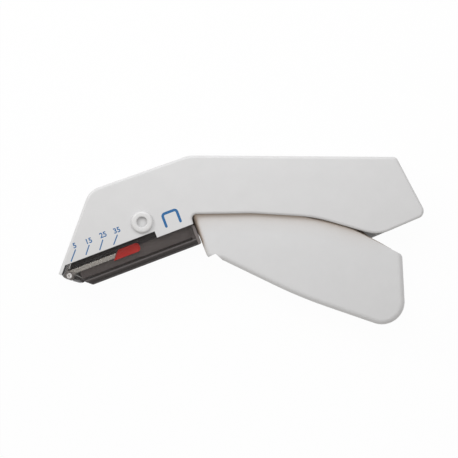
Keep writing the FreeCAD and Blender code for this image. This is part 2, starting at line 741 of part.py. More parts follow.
def guide_plate():
    """Steel sheet that the blade slides on, with two ears that the nose pins hold."""
    half = INNER_HALF - RUNNING_GAP / 2
    plate = nose_box(PLATE_FRONT, PLATE_FRONT + PLATE_THICKNESS, PLATE_TOP, PLATE_BOTTOM, half)
    ear = nose_box(PLATE_FRONT, PLATE_FRONT + EAR_REACH, EAR_TOP, EAR_BOTTOM, half)
    ear = ear.cut(nose_box(PLATE_FRONT - 1, PLATE_FRONT + EAR_REACH + 1, EAR_TOP - 1, EAR_BOTTOM + 1,
                           half - PLATE_THICKNESS))
    hole = disc(NOSE_PIN_PLACE, NOSE_PIN_RADIUS + SEAT_CLEARANCE, 0, THICKNESS)
    return clean(plate.fuse(ear).cut(hole))


def nose_pin():
    """Short hollow pin through the near wall of the magazine and the ear behind it."""
    low = MID_Z + INNER_HALF - PLATE_THICKNESS - RUNNING_GAP / 2
    high = MID_Z + MAGAZINE_HALF + NOSE_PIN_PROUD
    pin = disc(NOSE_PIN_PLACE, NOSE_PIN_RADIUS, low, high)
    return pin.cut(disc(NOSE_PIN_PLACE, NOSE_PIN_BORE, low - 1, high + 1))


def magazine_body():
    """Clear body: two side walls, the nose wall and the mouth. The cover closes it below."""
    front = -FRONT_EDGE + STRIP_WALL + NOSE_FRONT_CLEARANCE
    inside = front + MAGAZINE_WALL
    shell = prism([
        (nose_at_depth(front, MAGAZINE_TOP), 0),
        (nose(front, NOSE_DEPTH), 0.3),
        (nose(front + 1.1, MOUTH_DEPTH - 0.4), 0.4),
        (nose(front + 2.3, MOUTH_DEPTH), 0.8),
        (nose(MOUTH_REAR, MOUTH_DEPTH - MOUTH_LIFT), 0.4),
        (nose_at_depth(MOUTH_REAR + 0.7, PARTING_DEPTH), 0),
        (mag(COVER_REAR, PARTING_DEPTH), 0),
        (mag(COVER_REAR, MAGAZINE_TOP), 0),
    ], MID_Z - MAGAZINE_HALF, MID_Z + MAGAZINE_HALF)
    above = MAGAZINE_TOP - BEYOND / 4
    hollow = prism(sharp([
        nose_at_depth(inside, above),
        nose(inside, MOUTH_DEPTH + BEYOND),
        nose(MOUTH_SLOT_REAR, MOUTH_DEPTH + BEYOND),
        nose(MOUTH_SLOT_REAR, MOUTH_DEPTH - 0.3 - MAGAZINE_WALL),
        nose(MOUTH_REAR - MAGAZINE_WALL, MOUTH_DEPTH - MOUTH_LIFT - MAGAZINE_WALL),
        nose_at_depth(MOUTH_REAR - MAGAZINE_WALL / 2, PARTING_DEPTH + 1),
        mag(COVER_REAR + BEYOND, PARTING_DEPTH + 1),
        mag(COVER_REAR + BEYOND, above),
    ]), MID_Z - INNER_HALF, MID_Z + INNER_HALF)
    hole = disc(NOSE_PIN_PLACE, NOSE_PIN_RADIUS + SEAT_CLEARANCE, 0, THICKNESS)
    return shell.cut([hollow, hole])


def magazine_cover():
    """Tray under the body. Its two long ribs carry the rail, its boss the ejector leaf."""
    front = COVER_FRONT
    chin = nose_at_depth(front, PARTING_DEPTH).dot(NOSE_DOWN) + CHIN_LIP
    tray = prism([
        (nose_at_depth(front, PARTING_DEPTH), 0),
        (nose(front, chin), 0),
        (depth_at_nose(chin, MAGAZINE_BOTTOM), CHIN_ROUND),
        (mag(COVER_REAR, MAGAZINE_BOTTOM), 0),
        (mag(COVER_REAR, PARTING_DEPTH), 0),
    ], MID_Z - MAGAZINE_HALF, MID_Z + MAGAZINE_HALF)
    floor = MAGAZINE_BOTTOM - MAGAZINE_WALL
    hollow = prism(sharp([
        nose_at_depth(front + MAGAZINE_WALL, PARTING_DEPTH - 1),
        nose(front + MAGAZINE_WALL, chin - MAGAZINE_WALL),
        depth_at_nose(chin - MAGAZINE_WALL, floor),
        mag(COVER_REAR + 1, floor),
        mag(COVER_REAR + 1, PARTING_DEPTH - 1),
    ]), MID_Z - INNER_HALF, MID_Z + INNER_HALF)
    tray = tray.cut(hollow)
    ribs = []
    for side in (-1, 1):
        middle = MID_Z + side * (RAIL_HALF - RAIL_SHEET / 2)
        ribs.append(mag_box(LEAF_REAR - LEAF_BOSS_LENGTH, REAR_SEAT, RAIL_BOTTOM, floor + 0.1,
                            middle - RAIL_SHEET / 2, middle + RAIL_SHEET / 2))
    boss_top = LEAF_DEPTH + LEAF_THICKNESS / 2
    boss = mag_box(LEAF_REAR - LEAF_BOSS_LENGTH, LEAF_REAR, boss_top, floor + 0.1,
                   MID_Z - LEAF_WIDTH / 2, MID_Z + LEAF_WIDTH / 2)
    return clean(tray.fuse(ribs + [boss]))


def mag_box(front, rear, top, bottom, low, high):
    corners = [mag(front, top), mag(rear, top), mag(rear, bottom), mag(front, bottom)]
    return prism(sharp(corners), low, high)


def magazine_lid():
    """Dark strip that closes the magazine above the staples. Its deep rear end stops the follower."""
    bottom = LID_TOP + LID_THICKNESS
    stop = FOLLOWER_REAR + RUNNING_GAP
    front = BLADE_BACK + 1.5 * RUNNING_GAP
    half = INNER_HALF - RUNNING_GAP / 2
    return prism(sharp([
        nose_at_depth(front, LID_TOP),
        mag(REAR_SEAT, LID_TOP),
        mag(REAR_SEAT, RAIL_TOP - RUNNING_GAP),
        mag(stop, RAIL_TOP - RUNNING_GAP),
        mag(stop, bottom),
        nose_at_depth(front, bottom),
    ]), MID_Z - half, MID_Z + half)


def rear_cap():
    """Plug and end plate at the back of the magazine. It holds the spring's rod."""
    plate = prism([
        (mag(COVER_REAR, REAR_CAP_TOP), 0),
        (mag(COVER_REAR, MAGAZINE_BOTTOM), 0),
        (mag(MAGAZINE_REAR, MAGAZINE_BOTTOM), CAP_ROUND),
        (mag(MAGAZINE_REAR, REAR_CAP_TOP), CAP_ROUND),
    ], MID_Z - MAGAZINE_HALF, MID_Z + MAGAZINE_HALF)
    half = INNER_HALF - RUNNING_GAP / 2
    plug = mag_box(REAR_SEAT, COVER_REAR + REAR_CAP_PLATE / 2, LID_TOP,
                   MAGAZINE_BOTTOM - MAGAZINE_WALL - RUNNING_GAP, MID_Z - half, MID_Z + half)
    plug = plug.cut(mag_box(COVER_REAR, MAGAZINE_REAR + 1, 0, REAR_CAP_TOP, 0, THICKNESS))
    hole = along_magazine(ROD_RADIUS + SEAT_CLEARANCE, REAR_SEAT - 1, COVER_REAR, ROD_DEPTH)
    return clean(plate.fuse(plug).cut(hole))


def along_magazine(radius, front, rear, depth):
    return Part.makeCylinder(radius, rear - front, mag(front, depth) + V(0, 0, MID_Z), MAGAZINE_BACK)


def anvil_rail():
    """Folded steel channel, open below. Its tongue at the nose is the anvil."""
    front = BLADE_FRONT - RUNNING_GAP / 2
    sheet = prism(sharp([
        nose_at_depth(front, RAIL_TOP),
        mag(REAR_SEAT, RAIL_TOP),
        mag(REAR_SEAT, RAIL_BOTTOM),
        nose_at_depth(front, RAIL_BOTTOM),
    ]), MID_Z - RAIL_HALF, MID_Z + RAIL_HALF)
    tongue_rear = nose_at_depth(front, RAIL_TOP).dot(MAGAZINE_BACK) + TONGUE_LENGTH
    low = RAIL_TOP + RAIL_SHEET
    inside = mag_box(tongue_rear - BEYOND, REAR_SEAT + 1, low, RAIL_BOTTOM + 1,
                     MID_Z - RAIL_HALF + RAIL_SHEET, MID_Z + RAIL_HALF - RAIL_SHEET)
    under_tongue = mag_box(tongue_rear - BEYOND, tongue_rear, low, RAIL_BOTTOM + 1, 0, THICKNESS)
    slot = mag_box(KEEL_REAR - KEEL_LENGTH - FEED - 3 * RUNNING_GAP, REAR_SEAT + 1, RAIL_TOP - 1, low + 1,
                   MID_Z - RAIL_SLOT / 2, MID_Z + RAIL_SLOT / 2)
    return sheet.cut([inside, under_tongue, slot])


def staple(back):
    """Open staple across the rail, its legs pointing along the driver."""
    crown = mag(back, CROWN_DEPTH)
    leg = NOSE_DOWN * (STAPLE_LEG - WIRE / 2)
    half = V(0, 0, (STAPLE_WIDTH - WIRE) / 2)
    middle = V(0, 0, MID_Z)
    path = [crown + leg - half, crown - half, crown + half, crown + leg + half]
    spine = Part.makePolygon([point + middle for point in path])
    side = V(0, 0, WIRE / 2 / math.cos(math.pi / WIRE_SIDES))
    turn = FreeCAD.Rotation(NOSE_DOWN, 360 / WIRE_SIDES)
    start = FreeCAD.Rotation(NOSE_DOWN, 180 / WIRE_SIDES).multVec(side)
    ring = [start]
    for index in range(WIRE_SIDES):
        ring.append(turn.multVec(ring[-1]))
    section = Part.makePolygon([path[0] + middle + point for point in ring[:-1]] + [path[0] + middle + start])
    return spine.makePipeShell([section], True, False, 1)


def staple_stack():
    front = nose_at_depth(STAPLE_PLANE, CROWN_DEPTH).dot(MAGAZINE_BACK)
    return Part.makeCompound([staple(front + index * STAPLE_PITCH) for index in range(STAPLE_COUNT)])


def follower():
    """Red pusher astride the rail. Its keel runs in the rail's slot, its shoe on the rod."""
    half = INNER_HALF - FOLLOWER_SIDE_GAP
    body = prism([
        (nose_at_depth(FOLLOWER_FRONT, FOLLOWER_TOP), FOLLOWER_ROUND),
        (nose_at_depth(FOLLOWER_FRONT, FOLLOWER_BOTTOM), 0),
        (mag(FOLLOWER_REAR, FOLLOWER_BOTTOM), FOLLOWER_ROUND),
        (mag(FOLLOWER_REAR, FOLLOWER_TOP), FOLLOWER_ROUND),
    ], MID_Z - half, MID_Z + half)
    top = RAIL_TOP - RUNNING_GAP
    saddle = mag_box(-BEYOND, BEYOND, top, BEYOND, MID_Z - RAIL_HALF - 1.5 * RUNNING_GAP,
                     MID_Z + RAIL_HALF + 1.5 * RUNNING_GAP)
    front = KEEL_REAR - KEEL_LENGTH
    keel = mag_box(front, KEEL_REAR, top - 0.2, ROD_DEPTH, MID_Z - KEEL_WIDTH / 2, MID_Z + KEEL_WIDTH / 2)
    shoe_half = RAIL_HALF - RAIL_SHEET - 3 * RUNNING_GAP
    shoe_top = RAIL_TOP + RAIL_SHEET + 2 * RUNNING_GAP
    shoe = mag_box(front, KEEL_REAR, shoe_top, SHOE_BOTTOM, MID_Z - shoe_half, MID_Z + shoe_half)
    bore = along_magazine(ROD_RADIUS + RUNNING_GAP, -BEYOND, BEYOND, ROD_DEPTH)
    return clean(body.cut(saddle).fuse([keel, shoe]).cut(bore))


def guide_rod():
    return along_magazine(ROD_RADIUS, ROD_FRONT, COVER_REAR - RUNNING_GAP, ROD_DEPTH)


def follower_spring():
    """Compression spring on the rod, from the follower's shoe to the rear cap."""
    front = KEEL_REAR + PUSH_SPRING_WIRE / 2 + RUNNING_GAP
    height = REAR_SEAT - RUNNING_GAP - PUSH_SPRING_WIRE / 2 - front
    spring = square_coil(PUSH_SPRING_RADIUS, PUSH_SPRING_WIRE, PUSH_SPRING_TURNS, height)
    place = mag(front, ROD_DEPTH) + V(0, 0, MID_Z)
    spring.Placement = FreeCAD.Placement(place, FreeCAD.Rotation(V(0, 0, 1), MAGAZINE_BACK))
    return spring


def ejector_leaf():
    """Leaf spring that lifts a closed staple off the anvil. Its tip rises under the tongue."""
    half = LEAF_THICKNESS / 2
    rise = (mag(LEAF_TIP, LEAF_TIP_DEPTH) - mag(LEAF_BEND, LEAF_DEPTH)).normalize()
    lean = V(-rise.y, rise.x, 0) * half
    bend = mag(LEAF_BEND, LEAF_DEPTH)
    tip = mag(LEAF_TIP, LEAF_TIP_DEPTH)
    upper = bend - MAGAZINE_DOWN * half
    lower = bend + MAGAZINE_DOWN * half
    return prism(sharp([
        mag(LEAF_REAR, LEAF_DEPTH - half),
        upper,
        tip - lean,
        tip + lean,
        lower,
        mag(LEAF_REAR, LEAF_DEPTH + half),
    ]), MID_Z - LEAF_WIDTH / 2, MID_Z + LEAF_WIDTH / 2)


def main():
    os.makedirs("parts", exist_ok=True)
    near_pin = nose_pin()
    far_rivet, near_rivet = [driver_rivet(z) for z in rivet_places()]
    pieces = {
        "housing_near": housing_near(),
        "housing_far": housing_far(),
        "pivot_pin": pivot_pin(),
        "pin_cap": pin_cap(),
        "trigger": trigger(),
        "return_spring": return_spring(),
        "driver_carrier": driver_carrier(),
        "driver_blade": driver_blade(),
        "driver_rivet_near": near_rivet,
        "driver_rivet_far": far_rivet,
        "guide_plate": guide_plate(),
        "nose_pin_near": near_pin,
        "nose_pin_far": mirrored(near_pin),
        "magazine_body": magazine_body(),
        "magazine_cover": magazine_cover(),
        "magazine_lid": magazine_lid(),
        "rear_cap": rear_cap(),
        "anvil_rail": anvil_rail(),
        "ejector_leaf": ejector_leaf(),
        "staple_stack": staple_stack(),
        "follower": follower(),
        "follower_spring": follower_spring(),
        "guide_rod": guide_rod(),
    }
    outside = Part.makeCompound([pieces["housing_near"], pieces["trigger"]])
    box = outside.optimalBoundingBox(False, False)
    shift = V(-box.Center.x, -box.Center.y, 0)
    for name, shape in pieces.items():
        shape.translate(shift)
        shape.exportStep("parts/" + name + ".step")
        print(name, shape.isValid(), len(shape.Solids), round(shape.Volume, 1))
    print("pivot", round(shift.x, 4), round(shift.y, 4))
    print("stroke", round(STROKE, 4), "ratio", round(STROKE / math.radians(SQUEEZE_ANGLE), 6))
    print("feed", round(FEED, 3))
    print("driver axis", NOSE_DOWN, "feed axis", MAGAZINE_BACK * -1)


main()
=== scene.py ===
"""Looks of a disposable skin stapler that lies on its side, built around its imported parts.

Metres, in the same frame as the parts. Lengths that belong to the object are written in
millimetres and measured from the pivot pin, along the magazine and across it.
"""
import math

import bmesh
import bpy
from mathutils import Matrix, Vector

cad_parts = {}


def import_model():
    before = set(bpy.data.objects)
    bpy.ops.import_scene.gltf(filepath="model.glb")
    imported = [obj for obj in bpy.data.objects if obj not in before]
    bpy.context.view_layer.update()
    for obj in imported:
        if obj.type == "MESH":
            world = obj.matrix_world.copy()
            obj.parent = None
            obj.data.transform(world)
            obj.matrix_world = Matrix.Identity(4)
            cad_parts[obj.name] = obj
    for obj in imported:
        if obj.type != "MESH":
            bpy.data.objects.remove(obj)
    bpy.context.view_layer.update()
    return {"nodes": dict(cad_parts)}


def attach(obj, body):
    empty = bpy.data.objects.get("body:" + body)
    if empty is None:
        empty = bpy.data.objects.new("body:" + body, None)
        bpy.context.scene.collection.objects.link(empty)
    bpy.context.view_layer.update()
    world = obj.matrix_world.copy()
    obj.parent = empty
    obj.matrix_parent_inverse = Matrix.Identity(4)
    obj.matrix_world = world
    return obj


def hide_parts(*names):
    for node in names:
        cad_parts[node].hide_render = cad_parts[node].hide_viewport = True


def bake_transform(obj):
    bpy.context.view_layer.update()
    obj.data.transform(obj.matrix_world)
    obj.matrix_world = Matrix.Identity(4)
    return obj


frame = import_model()

MM = 0.001
UP = Vector((0, 0, 1))
PIVOT = Vector((-40.6437, 7.3888, 0))
MAGAZINE_BACK = Vector((0.9348257, 0.3551070, 0))
MAGAZINE_DOWN = Vector((0.3551070, -0.9348257, 0))
NOSE_DOWN = Vector((-0.3452982, -0.9384930, 0))
MAGAZINE_ANGLE = math.radians(20.8)
NOSE_ANGLE = math.radians(69.8)
NEAR_FACE = 20.0
MID_Z = 10.0
WIRE_SIDES = 8
BEND_STEPS = 5

# Staples. Wires are given by their radius
STAPLE_COUNT = 35
STAPLE_PITCH = 0.62
FIRST_STAPLE = -35.492
CROWN_DEPTH = 7.905
CROWN_HALF = 6.075
STAPLE_LEG = 2.875
STAPLE_WIRE = 0.225
STAPLE_BEND = 0.6
STAPLE_TIP = 0.35
STAPLE_TIP_SHARE = 0.45
STAPLE_GROUPS = ((1, 2), (3, 6), (7, 27), (28, 31), (32, 33))

# Follower's spring
PUSH_FRONT = -4.925
PUSH_REAR = 16.575
PUSH_DEPTH = 10.6
PUSH_RADIUS = 1.45
PUSH_WIRE = 0.225
PUSH_TURNS = 11
PUSH_CLOSED_TURNS = 1.25
PUSH_STEPS = 28

# Return spring
COIL_RADIUS = 4.3
COIL_WIRE = 0.25
COIL_LOW = 13.65
COIL_PITCH = 0.56
COIL_START = 150.0
COIL_TURNS = 2 + 150 / 360
COIL_STEPS = 36
COIL_SIDES = 10
UPPER_LEG = 21.5
LOWER_LEG = 15.0

# Printed marks
INK_LOW = 0.004
INK_HIGH = 0.014
TICK_WIDTH = 0.45
DIGIT_SIZE = 3.0
DIGIT_SWELL = 0.07
TICKS = (
    ((-28.99, -16.06), (-27.26, -11.41)),
    ((-22.92, -13.33), (-21.64, -9.51)),
    ((-17.26, -11.39), (-16.07, -7.41)),
    ((-11.53, -9.19), (-10.12, -5.36)),
)
DIGITS = (
    ("5", (-27.59, -9.76)),
    ("15", (-21.85, -7.83)),
    ("25", (-15.91, -5.33)),
    ("35", (-10.29, -3.46)),
)
SIGN_PLACE = Vector((12.0, 1.7, 0))
SIGN_HALF = 3.1
SIGN_HEIGHT = 5.2
SIGN_STROKE = 1.1

# Lip along the trigger's upper edge, which runs up under the housing
LIP_LINE = (
    (60.5, 3.76), (63.2, 3.21), (66.0, 2.62), (69.64, 1.93), (72.4, 1.45), (75.0, 0.93), (77.6, 0.3),
    (80.0, -0.38), (82.2, -1.06), (84.0, -1.65), (86.1, -2.46), (88.0, -3.38), (91.0, -4.92),
    (94.0, -6.46), (98.0, -8.52), (102.4, -11.1),
)
LIP_TOP = 17.56
LIP_PROFILE = (
    (2.9, 0.0), (1.0, 0.0), (0.62, 0.08), (0.29, 0.29), (0.08, 0.62), (0.0, 1.0), (0.0, 1.6), (2.9, 1.6),
)

# Tabs of the far shell that close the gaps behind the magazine's end and at the trigger's shoulder
TABS = (
    ((19.9, 3.3), (22.1, 3.3), (23.4, 0.0), (25.6, -5.7), (23.6, -6.2), (21.3, -2.05), (19.5, -1.85)),
    ((85.3, -1.6), (91.8, -3.3), (94.7, -4.5), (93.9, -7.2), (89.4, -5.7), (84.9, -3.5)),
)
TAB_LOW = 0.35
TAB_HIGH = 1.85
TAB_ROUND = 0.25
TAB_ROUND_STEPS = 3

# Camera, above the middle of the photograph's frame
CAMERA_PLACE = Vector((35.67, -2.87, 1584.0))
CAMERA_LENS = 300.0
SENSOR_WIDTH = 36

# Floor, surroundings and lamps, in metres and watts: name, place, size, power and colour
FLOOR_HALF = 4.0
FLOOR_GREY = (0.90, 0.90, 0.90, 1)
FLOOR_WHITE_SHARE = 0.97
WHITE = (1, 1, 1, 1)
SOFT_LIGHT = (1.0, 0.972, 0.940, 1)
SOFT_STRENGTH = 0.45
LAMP_AIM = Vector((0, 0, 0.01))
LAMPS = (
    ("key", (0.010, 0.165, 0.235), 0.28, 0.34, (0.985, 1.0, 1.03)),
    ("side", (-0.30, 0.22, 0.25), 0.10, 0.48, (1.0, 1.0, 1.0)),
)


def along(back, depth, height=MID_Z):
    """Point in millimetres from its place along the magazine, its depth and its height."""
    return PIVOT + MAGAZINE_BACK * back + MAGAZINE_DOWN * depth + UP * height


def link(name, mesh, material, smooth=True):
    """A new piece in the scene, with its material and the material slot that it belongs to."""
    piece = bpy.data.objects.new(name, mesh)
    bpy.context.scene.collection.objects.link(piece)
    mesh.materials.append(material)
    for face in mesh.polygons:
        face.use_smooth = smooth
    return piece


def rounded(points, radius, steps):
    """The path with each inner corner replaced by a short arc."""
    path = [points[0]]
    for before, corner, after in zip(points, points[1:], points[2:]):
        first = (before - corner).normalized()
        second = (after - corner).normalized()
        half = first.angle(second) / 2
        middle = corner + (first + second).normalized() * (radius / math.sin(half))
        start = corner + first * (radius / math.tan(half)) - middle
        end = corner + second * (radius / math.tan(half)) - middle
        for index in range(steps + 1):
            path.append(middle + start.slerp(end, index / steps).normalized() * radius)
    path.append(points[-1])
    return path


def heading(path, index):
    """Direction of a path at one of its points."""
    ahead = path[min(index + 1, len(path) - 1)]
    behind = path[max(index - 1, 0)]
    return (ahead - behind).normalized()


def bridge(bm, low, high):
    """Faces between two closed rings of as many points."""
    for index in range(len(low)):
        other = (index + 1) % len(low)
        bm.faces.new((low[index], low[other], high[other], high[index]))


def tube(bm, path, radius, sides, tip=1.0):
    """Round wire along a path, with its ends closed. A tip below 1 thins the last ring."""
    tangents = [heading(path, index) for index in range(len(path))]
    normal = tangents[0].orthogonal().normalized()
    rings = []
    for index, point in enumerate(path):
        if index:
            normal = tangents[index - 1].rotation_difference(tangents[index]) @ normal
        across = tangents[index].cross(normal)
        size = radius * (tip if index in (0, len(path) - 1) else 1.0)
        ring = []
        for side in range(sides):
            angle = 2 * math.pi * side / sides
            out = (normal * math.cos(angle) + across * math.sin(angle)) * size
            ring.append(bm.verts.new((point + out) * MM))
        rings.append(ring)
    for low, high in zip(rings, rings[1:]):
        bridge(bm, low, high)
    bm.faces.new(rings[0][::-1])
    bm.faces.new(rings[-1])


def new_mesh(name, bm):
    """The built faces as a mesh, with all normals outward."""
    mesh = bpy.data.meshes.new(name)
    bmesh.ops.recalc_face_normals(bm, faces=bm.faces)
    bm.to_mesh(mesh)
    bm.free()
    return mesh


# Materials


# Painted shade: how far the ambient occlusion looks for faces close by, in millimetres, and the
# occlusion at or below which the shade tone is full.
PAINTED_SHADE_REACH = 8.0
PAINTED_SHADE_FULL_AT = 0.6
BRUSH = (1, 0.04, 1)

# The middle range of a noise, where nearly all its values lie
NOISE_LOW = 0.3
NOISE_HIGH = 0.7

# Painted highlight and shade on the magazine's cover, as tones by their depth across the magazine: a
# painted highlight along the parting line at 14.45, painted shade below it that is darkest at 16.1, and
# a lighter painted edge at 16.5
COVER_PAINTED_LIGHT_BANDS = (
    (14.0, (0.060, 0.052, 0.050)),
    (14.45, (0.150, 0.138, 0.136)),
    (14.9, (0.055, 0.048, 0.046)),
    (15.5, (0.036, 0.030, 0.029)),
    (16.1, (0.016, 0.013, 0.012)),
    (16.5, (0.060, 0.054, 0.052)),
)
SOCKETS = {
    "alpha": "Alpha",
    "ior": "IOR",
    "metallic": "Metallic",
    "specular_level": "Specular IOR Level",
}

# The colour sockets of a mix node
MIX_FIRST = 6
MIX_SECOND = 7
MIX_RESULT = 2


class Shader:
    """A new material with its nodes. Values go straight on the sockets of the surface shader."""

    def __init__(self, name, **values):
        self.material = bpy.data.materials.new(name)
        self.material.use_nodes = True
        self.tree = self.material.node_tree
        self.nodes = self.tree.nodes
        self.surface = self.nodes["Principled BSDF"]
        for key, value in values.items():
            self.surface.inputs[SOCKETS[key]].default_value = value
        self.place = self.nodes.new("ShaderNodeTexCoord").outputs["Object"]

    def join(self, output, socket):
        """Link from one node's output to another's socket."""
        self.tree.links.new(output, socket)

    def stretched(self, scale, turn):
        """Object coordinates scaled by axis and turned about Z, for brushed or drawn metal."""
        mapping = self.nodes.new("ShaderNodeMapping")
        mapping.vector_type = "TEXTURE"
        mapping.inputs["Rotation"].default_value = (0, 0, turn)
        mapping.inputs["Scale"].default_value = scale
        self.join(self.place, mapping.inputs["Vector"])
        return mapping.outputs["Vector"]

    def noise(self, scale, detail=3.0, rough=0.5, vector=None):
        """Noise with its scale per metre, over the object's coordinates or a given vector."""
        node = self.nodes.new("ShaderNodeTexNoise")
        node.inputs["Scale"].default_value = scale
        node.inputs["Detail"].default_value = detail
        node.inputs["Roughness"].default_value = rough
        self.join(vector or self.place, node.inputs["Vector"])
        return node.outputs["Fac"]

    def ramp(self, factor, stops):
        """Colour by factor, between (position, colour) stops."""
        node = self.nodes.new("ShaderNodeValToRGB")
        elements = node.color_ramp.elements
        elements[0].position, elements[0].color = stops[0]
        elements[1].position, elements[1].color = stops[-1]
        for position, colour in stops[1:-1]:
            elements.new(position).color = colour
        self.join(factor, node.inputs["Fac"])
        return node.outputs["Color"]

    def spread(self, factor, low, high):
        """The factor's middle range spread over the range from low to high."""
        node = self.nodes.new("ShaderNodeMapRange")
        node.inputs["From Min"].default_value = NOISE_LOW
        node.inputs["From Max"].default_value = NOISE_HIGH
        node.inputs["To Min"].default_value = low
        node.inputs["To Max"].default_value = high
        self.join(factor, node.inputs["Value"])
        return node.outputs["Result"]

    def colour(self, factor, first, second, painted_shade_tone=None):
        """Colour between two tones, and painted shade: the given shade tone mixed in by ambient
        occlusion where other faces stand close by.
        """
        tone = self.ramp(factor, [(NOISE_LOW, (*first, 1)), (NOISE_HIGH, (*second, 1))])
        # Painted shade: where ambient occlusion finds faces close by, the colour turns to the shade
        # tone.
        if painted_shade_tone:
            near = self.nodes.new("ShaderNodeAmbientOcclusion")
            near.samples = 12
            near.inputs["Distance"].default_value = PAINTED_SHADE_REACH * MM
            unshaded_share = self.nodes.new("ShaderNodeMapRange")
            unshaded_share.inputs["From Min"].default_value = PAINTED_SHADE_FULL_AT
            self.join(near.outputs["AO"], unshaded_share.inputs["Value"])
            mix = self.nodes.new("ShaderNodeMix")
            mix.data_type = "RGBA"
            self.join(unshaded_share.outputs["Result"], mix.inputs["Factor"])
            mix.inputs[MIX_FIRST].default_value = (*painted_shade_tone, 1)
            self.join(tone, mix.inputs[MIX_SECOND])
            tone = mix.outputs[MIX_RESULT]
        self.join(tone, self.surface.inputs["Base Color"])

    def paint_light_bands(self, painted_light_bands):
        """Tones across the magazine from the given bands, which paint highlight and shade lines along
        it.
        """
        place = self.nodes.new("ShaderNodeMapping")
        place.vector_type = "TEXTURE"
        place.inputs["Location"].default_value = tuple(PIVOT * MM)
        place.inputs["Rotation"].default_value = (0, 0, MAGAZINE_ANGLE)
        self.join(self.place, place.inputs["Vector"])
        split = self.nodes.new("ShaderNodeSeparateXYZ")
        self.join(place.outputs["Vector"], split.inputs["Vector"])
        depth = self.nodes.new("ShaderNodeMapRange")
        depth.inputs["From Min"].default_value = -painted_light_bands[0][0] * MM
        depth.inputs["From Max"].default_value = -painted_light_bands[-1][0] * MM
        self.join(split.outputs["Y"], depth.inputs["Value"])
        span = painted_light_bands[-1][0] - painted_light_bands[0][0]
        stops = [((at - painted_light_bands[0][0]) / span, (*tone, 1)) for at, tone in painted_light_bands]
        self.join(self.ramp(depth.outputs["Result"], stops), self.surface.inputs["Base Color"])

    def roughness(self, factor, low, high):
        """Roughness between two values, by a noise."""
        self.join(self.spread(factor, low, high), self.surface.inputs["Roughness"])

    def relief(self, heights, edge=0.0):
        """Bumps from (factor, depth in metres) pairs over edges softened by a small radius."""
        normal = None
        if edge:
            bevel = self.nodes.new("ShaderNodeBevel")
            bevel.samples = 6
            bevel.inputs["Radius"].default_value = edge
            normal = bevel.outputs["Normal"]
        for factor, depth in heights:
            bump = self.nodes.new("ShaderNodeBump")
            bump.inputs["Distance"].default_value = depth
            self.join(factor, bump.inputs["Height"])
            if normal:
                self.join(normal, bump.inputs["Normal"])
            normal = bump.outputs["Normal"]
        self.join(normal, self.surface.inputs["Normal"])


def moulded(name, first, second, rough, grain, edge=0.00018, painted_shade_tone=None, painted_light_bands=None, **values):
    """Moulded plastic: fine spark-eroded grain, a slow waviness and slightly uneven gloss.

    Its colour lies between two tones, with painted shade where other faces stand close by if a shade
    tone is given, or follows bands of painted highlight and shade across the magazine.
    """
    shader = Shader(name, **values)
    fine = shader.noise(5200, 2.0)
    slow = shader.noise(38, 3.0)
    cloud = shader.noise(140, 4.0, 0.6)
    if painted_light_bands:
        shader.paint_light_bands(painted_light_bands)
    else:
        shader.colour(cloud, first, second, painted_shade_tone)
    shader.roughness(shader.noise(420, 4.0), rough - 0.05, rough + 0.06)
    shader.relief([(slow, 0.00012), (fine, grain)], edge)
    return shader.material


def metal(name, first, second, rough, turn=0.0, edge=0.0):
    """Drawn or rolled metal with fine lines along one direction."""
    shader = Shader(name, metallic=1.0)
    lines = shader.noise(900, 3.0, 0.6, shader.stretched(BRUSH, turn))
    shader.colour(lines, first, second)
    shader.roughness(shader.noise(700, 4.0), rough - 0.06, rough + 0.08)
    shader.relief([(lines, 0.000004)], edge)
    return shader.material


# White, black and red plastics
HOUSING = moulded("housing_white", (0.706, 0.706, 0.708), (0.726, 0.726, 0.728), 0.38, 0.0000035)
# A dark brown copy of the housing's white: painted shade for the far shell's tabs deep in the gaps.
HOUSING_IN_PAINTED_SHADE = moulded("housing_white_in_painted_shade", (0.40, 0.33, 0.28), (0.44, 0.37, 0.31), 0.45, 0.0000035)
# The trigger's warm brown painted shade, strongest under the housing's edge and beside the magazine.
TRIGGER = moulded("trigger_white", (0.728, 0.730, 0.734), (0.748, 0.750, 0.754), 0.36, 0.0000030,
                  painted_shade_tone=(0.545, 0.445, 0.365))
# Grey painted shade in and around the pin head's recess.
BOSS = moulded("boss_white", (0.745, 0.744, 0.742), (0.770, 0.769, 0.767), 0.26, 0.0000010,
               painted_shade_tone=(0.62, 0.62, 0.62))
BLACK = moulded("black_plastic", (0.009, 0.006, 0.006), (0.015, 0.011, 0.010), 0.38, 0.0000020,
                0.00008)
RED = moulded("red_plastic", (0.90, 0.020, 0.012), (0.98, 0.034, 0.020), 0.30, 0.0000015, 0.00010)
CARRIER = moulded("carrier_white", (0.62, 0.61, 0.60), (0.66, 0.65, 0.64), 0.34, 0.0000020)

# Smoked plastic: the clear near wall, a darker, nearly opaque copy that paints shade on the body's edges
# and far side, the cover with bands of painted highlight and shade, and the end cap
SMOKED = moulded("smoked_clear", (0.050, 0.040, 0.037), (0.062, 0.050, 0.046), 0.10, 0.0000006,
                 0.00012, alpha=0.18, ior=1.585, specular_level=0.12)
# Painted shade: a darker, nearly opaque copy of the smoked plastic for the body's edges and far side.
SMOKED_WITH_PAINTED_SHADE = moulded("smoked_with_painted_shade", (0.036, 0.030, 0.028), (0.048, 0.039, 0.037), 0.16, 0.0000006,
                      0.00030, alpha=0.85, ior=1.585, specular_level=0.35)
# The cover's dark smoked colour carries painted highlight and shade lines in bands across the magazine.
SMOKED_COVER = moulded("smoked_cover", None, None, 0.20, 0.0000006, 0.00030,
                       painted_light_bands=COVER_PAINTED_LIGHT_BANDS, alpha=0.9, ior=1.585, specular_level=0.2)
SMOKED_CAP = moulded("smoked_cap", (0.150, 0.124, 0.118), (0.190, 0.160, 0.152), 0.18, 0.0000006,
                     0.00030, alpha=0.85, ior=1.585)

